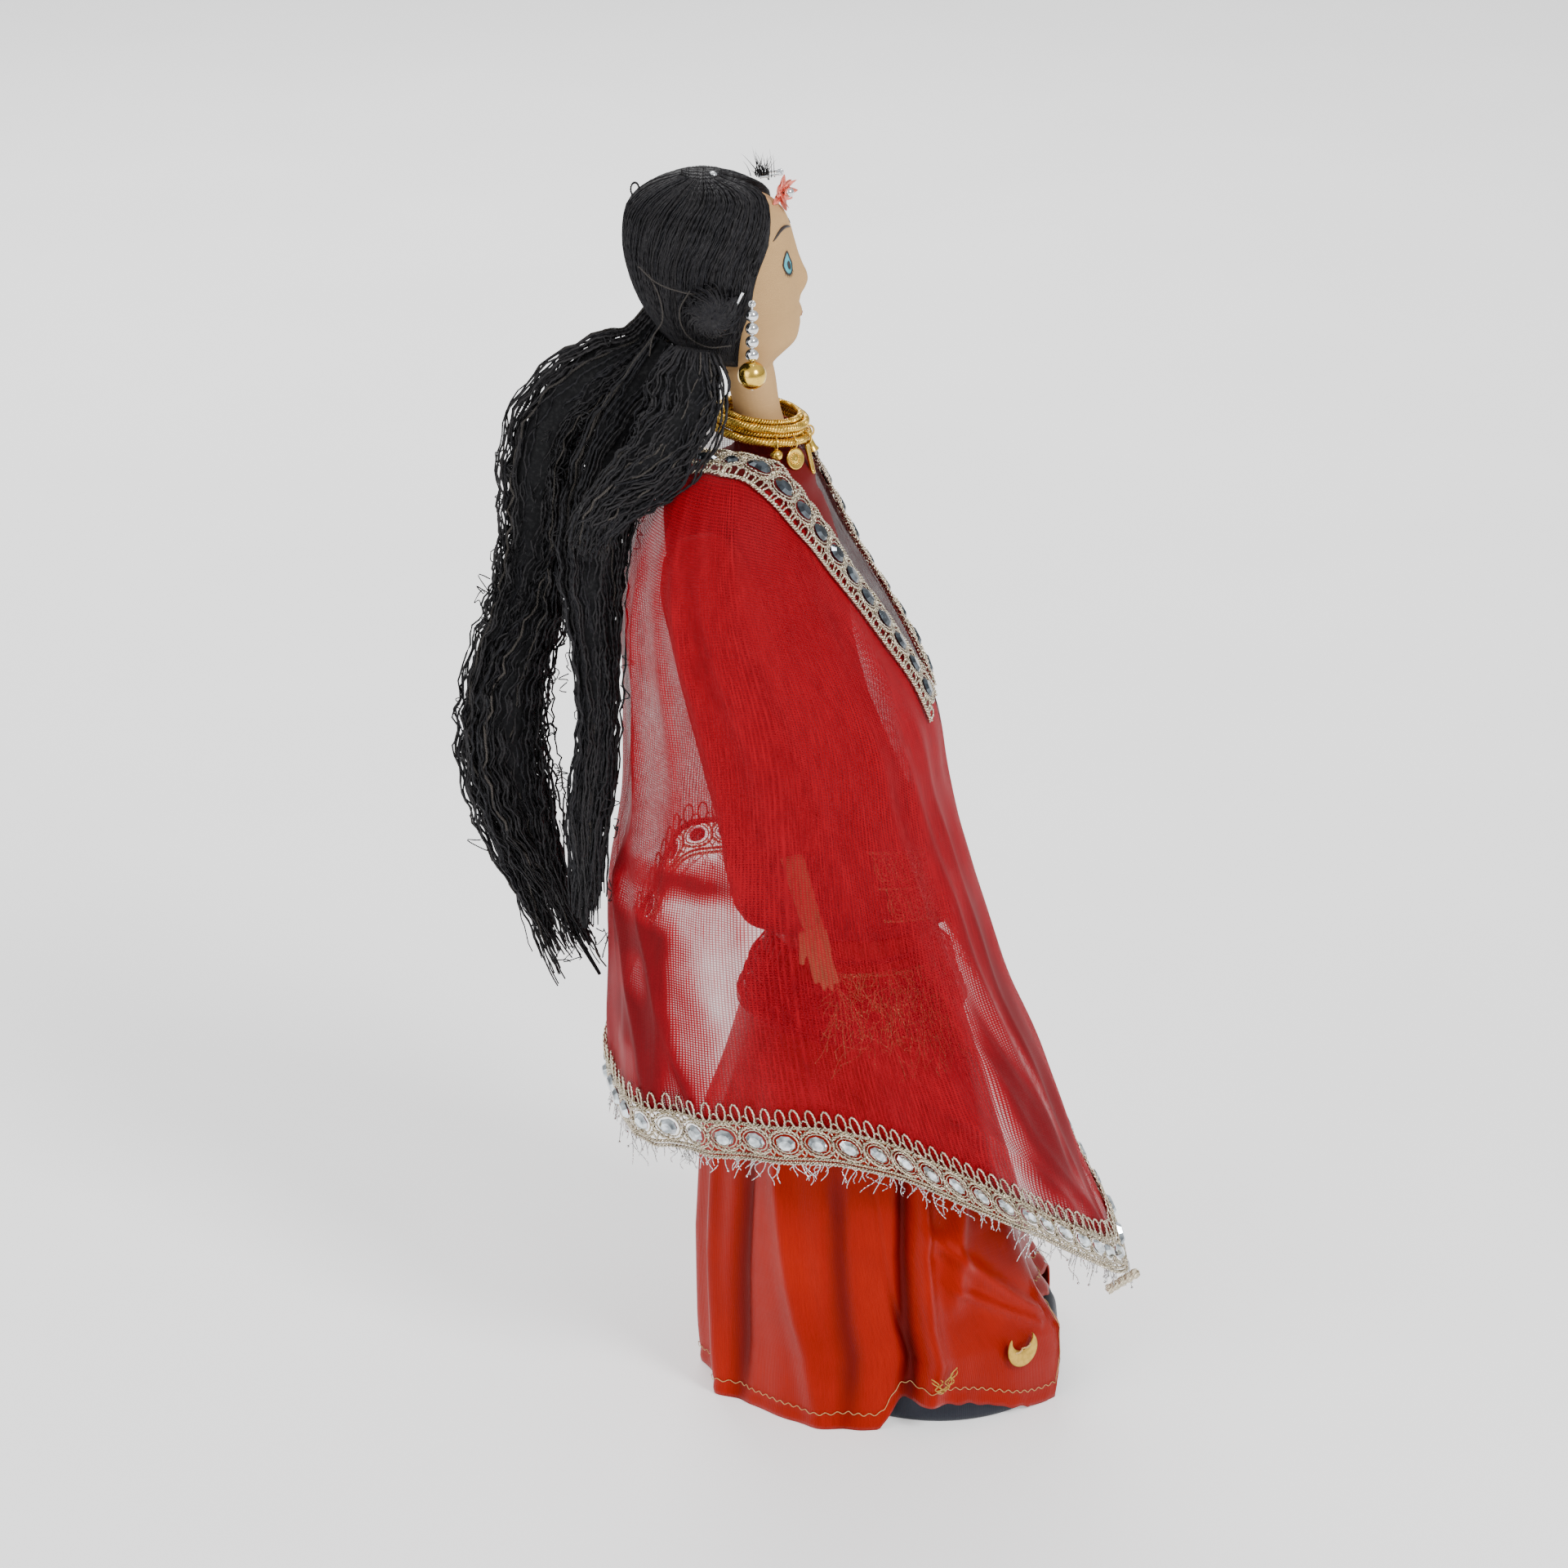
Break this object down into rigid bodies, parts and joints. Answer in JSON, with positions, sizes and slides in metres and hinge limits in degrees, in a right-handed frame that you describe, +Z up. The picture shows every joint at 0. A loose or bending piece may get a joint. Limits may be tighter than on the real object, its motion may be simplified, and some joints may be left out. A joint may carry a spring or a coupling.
{
  "type": "cloth doll",
  "caption": "Standing stuffed cloth lady doll in a laced see-through veil, with long yarn tresses, earrings and a choker, on a round stand.",
  "frame": {"origin": "centre of the stand's underside, on the floor", "axes": "+Z up, +X the way the doll faces, +Y to its left"},
  "size_m": [0.2143, 0.1156, 0.3945],
  "materials": {
    "black_satin": "satin",
    "wood": "satin",
    "skin_cloth": "matte",
    "red_cotton": "matte",
    "orange_satin": "satin",
    "red_chiffon": "sheer",
    "silver_lace": "metallic thread",
    "yarn": "matte",
    "gold": "polished",
    "silver": "polished",
    "peach_foil": "foil"
  },
  "bodies": {
    "stand": {"base_disc": "black_satin", "stand_dowel": "wood", "torso": "skin_cloth", "blouse": "red_cotton", "waistband": "orange_satin", "skirt": "orange_satin", "waist_sash": "red_chiffon", "veil": "red_chiffon", "upper_lace_right": "silver_lace", "upper_lace_left": "silver_lace", "lower_lace": "silver_lace", "lace_end": "silver_lace", "head": "skin_cloth", "hair_cap": "yarn", "bun_right": "yarn", "bun_left": "yarn", "bun_cord_right": "yarn", "bun_cord_left": "yarn", "hair_pin": "silver", "hanging_loop": "yarn", "tikka_hook": "silver", "choker_upper": "gold", "choker_lower": "gold", "ear_pin_right": "silver", "ear_pin_left": "silver", "sequin_stitch": "skin_cloth"},
    "forehead_star": {"tikka_star": "peach_foil", "tikka_bead": "silver"},
    "earring_right": {"ear_wire_right": "silver", "silver_bead_right_1": "silver", "silver_bead_right_2": "silver", "silver_bead_right_3": "silver", "silver_bead_right_4": "silver", "gold_bead_right": "gold"},
    "arm_right_body": {"sleeve_right": "red_cotton", "arm_right": "skin_cloth", "hand_right": "skin_cloth"},
    "earring_left": {"ear_wire_left": "silver", "silver_bead_left_1": "silver", "silver_bead_left_2": "silver", "silver_bead_left_3": "silver", "silver_bead_left_4": "silver", "gold_bead_left": "gold"},
    "arm_left_body": {"sleeve_left": "red_cotton", "arm_left": "skin_cloth", "hand_left": "skin_cloth"},
    "charm_bead": {"pendant_bead": "gold"},
    "charm_disc": {"pendant_disc": "gold"},
    "charm_bar": {"pendant_bar": "gold"},
    "charm_bell": {"pendant_bell": "gold"},
    "charm_drop": {"pendant_drop": "gold"},
    "hair_rear": {"tress_rear": "yarn"},
    "hair_inner": {"tress_inner": "yarn"},
    "hair_side": {"tress_side": "yarn"},
    "sequin": {"hem_sequin": "gold"}
  },
  "joints": [
    {"name": "star_lift", "type": "hinge", "parent": "stand", "child": "forehead_star", "pos_m": [-0.04977, 0, 0.3934], "axis": [0, -1, 0], "range_deg": [0, 35]},
    {"name": "earring_right_swing", "type": "hinge", "parent": "stand", "child": "earring_right", "pos_m": [-0.05794, -0.0215, 0.35976], "axis": [0, -1, 0], "range_deg": [-8, 30]},
    {"name": "arm_right_swing", "type": "hinge", "parent": "stand", "child": "arm_right_body", "pos_m": [-0.07278, -0.0355, 0.288], "axis": [0, -1, 0], "range_deg": [-8, 7]},
    {"name": "earring_left_swing", "type": "hinge", "parent": "stand", "child": "earring_left", "pos_m": [-0.05794, 0.0215, 0.35976], "axis": [0, -1, 0], "range_deg": [-8, 30]},
    {"name": "arm_left_swing", "type": "hinge", "parent": "stand", "child": "arm_left_body", "pos_m": [-0.07278, 0.0355, 0.288], "axis": [0, -1, 0], "range_deg": [-8, 7]},
    {"name": "charm_bead_swing", "type": "hinge", "parent": "stand", "child": "charm_bead", "pos_m": [-0.05112, -0.01341, 0.31457], "axis": [-0.9511, -0.309, 0], "range_deg": [0, 30]},
    {"name": "charm_disc_swing", "type": "hinge", "parent": "stand", "child": "charm_disc", "pos_m": [-0.04608, -0.01048, 0.31395], "axis": [-0.7431, -0.6691, 0], "range_deg": [0, 30]},
    {"name": "charm_bar_swing", "type": "hinge", "parent": "stand", "child": "charm_bar", "pos_m": [-0.0423, -0.00482, 0.31349], "axis": [-0.342, -0.9397, 0], "range_deg": [0, 30]},
    {"name": "charm_bell_swing", "type": "hinge", "parent": "stand", "child": "charm_bell", "pos_m": [-0.04159, 0.00196, 0.3134], "axis": [0.1392, -0.9903, 0], "range_deg": [0, 30]},
    {"name": "charm_drop_swing", "type": "hinge", "parent": "stand", "child": "charm_drop", "pos_m": [-0.04385, 0.00788, 0.31368], "axis": [0.5592, -0.829, 0], "range_deg": [0, 30]},
    {"name": "tress_rear_swing", "type": "hinge", "parent": "stand", "child": "hair_rear", "pos_m": [-0.09165, 0.004, 0.3383], "axis": [0, 1, 0], "range_deg": [0, 15]},
    {"name": "tress_inner_swing", "type": "hinge", "parent": "stand", "child": "hair_inner", "pos_m": [-0.09415, -0.009, 0.3298], "axis": [0, 1, 0], "range_deg": [0, 12]},
    {"name": "tress_side_swing", "type": "hinge", "parent": "stand", "child": "hair_side", "pos_m": [-0.07515, -0.0245, 0.3468], "axis": [0, 1, 0], "range_deg": [0, 12]},
    {"name": "sequin_turn", "type": "hinge", "parent": "stand", "child": "sequin", "pos_m": [0.02608, -0.0339, 0.02316], "axis": [0.6123, -0.7837, 0.1045], "range_deg": [-25, 25]}
  ]
}
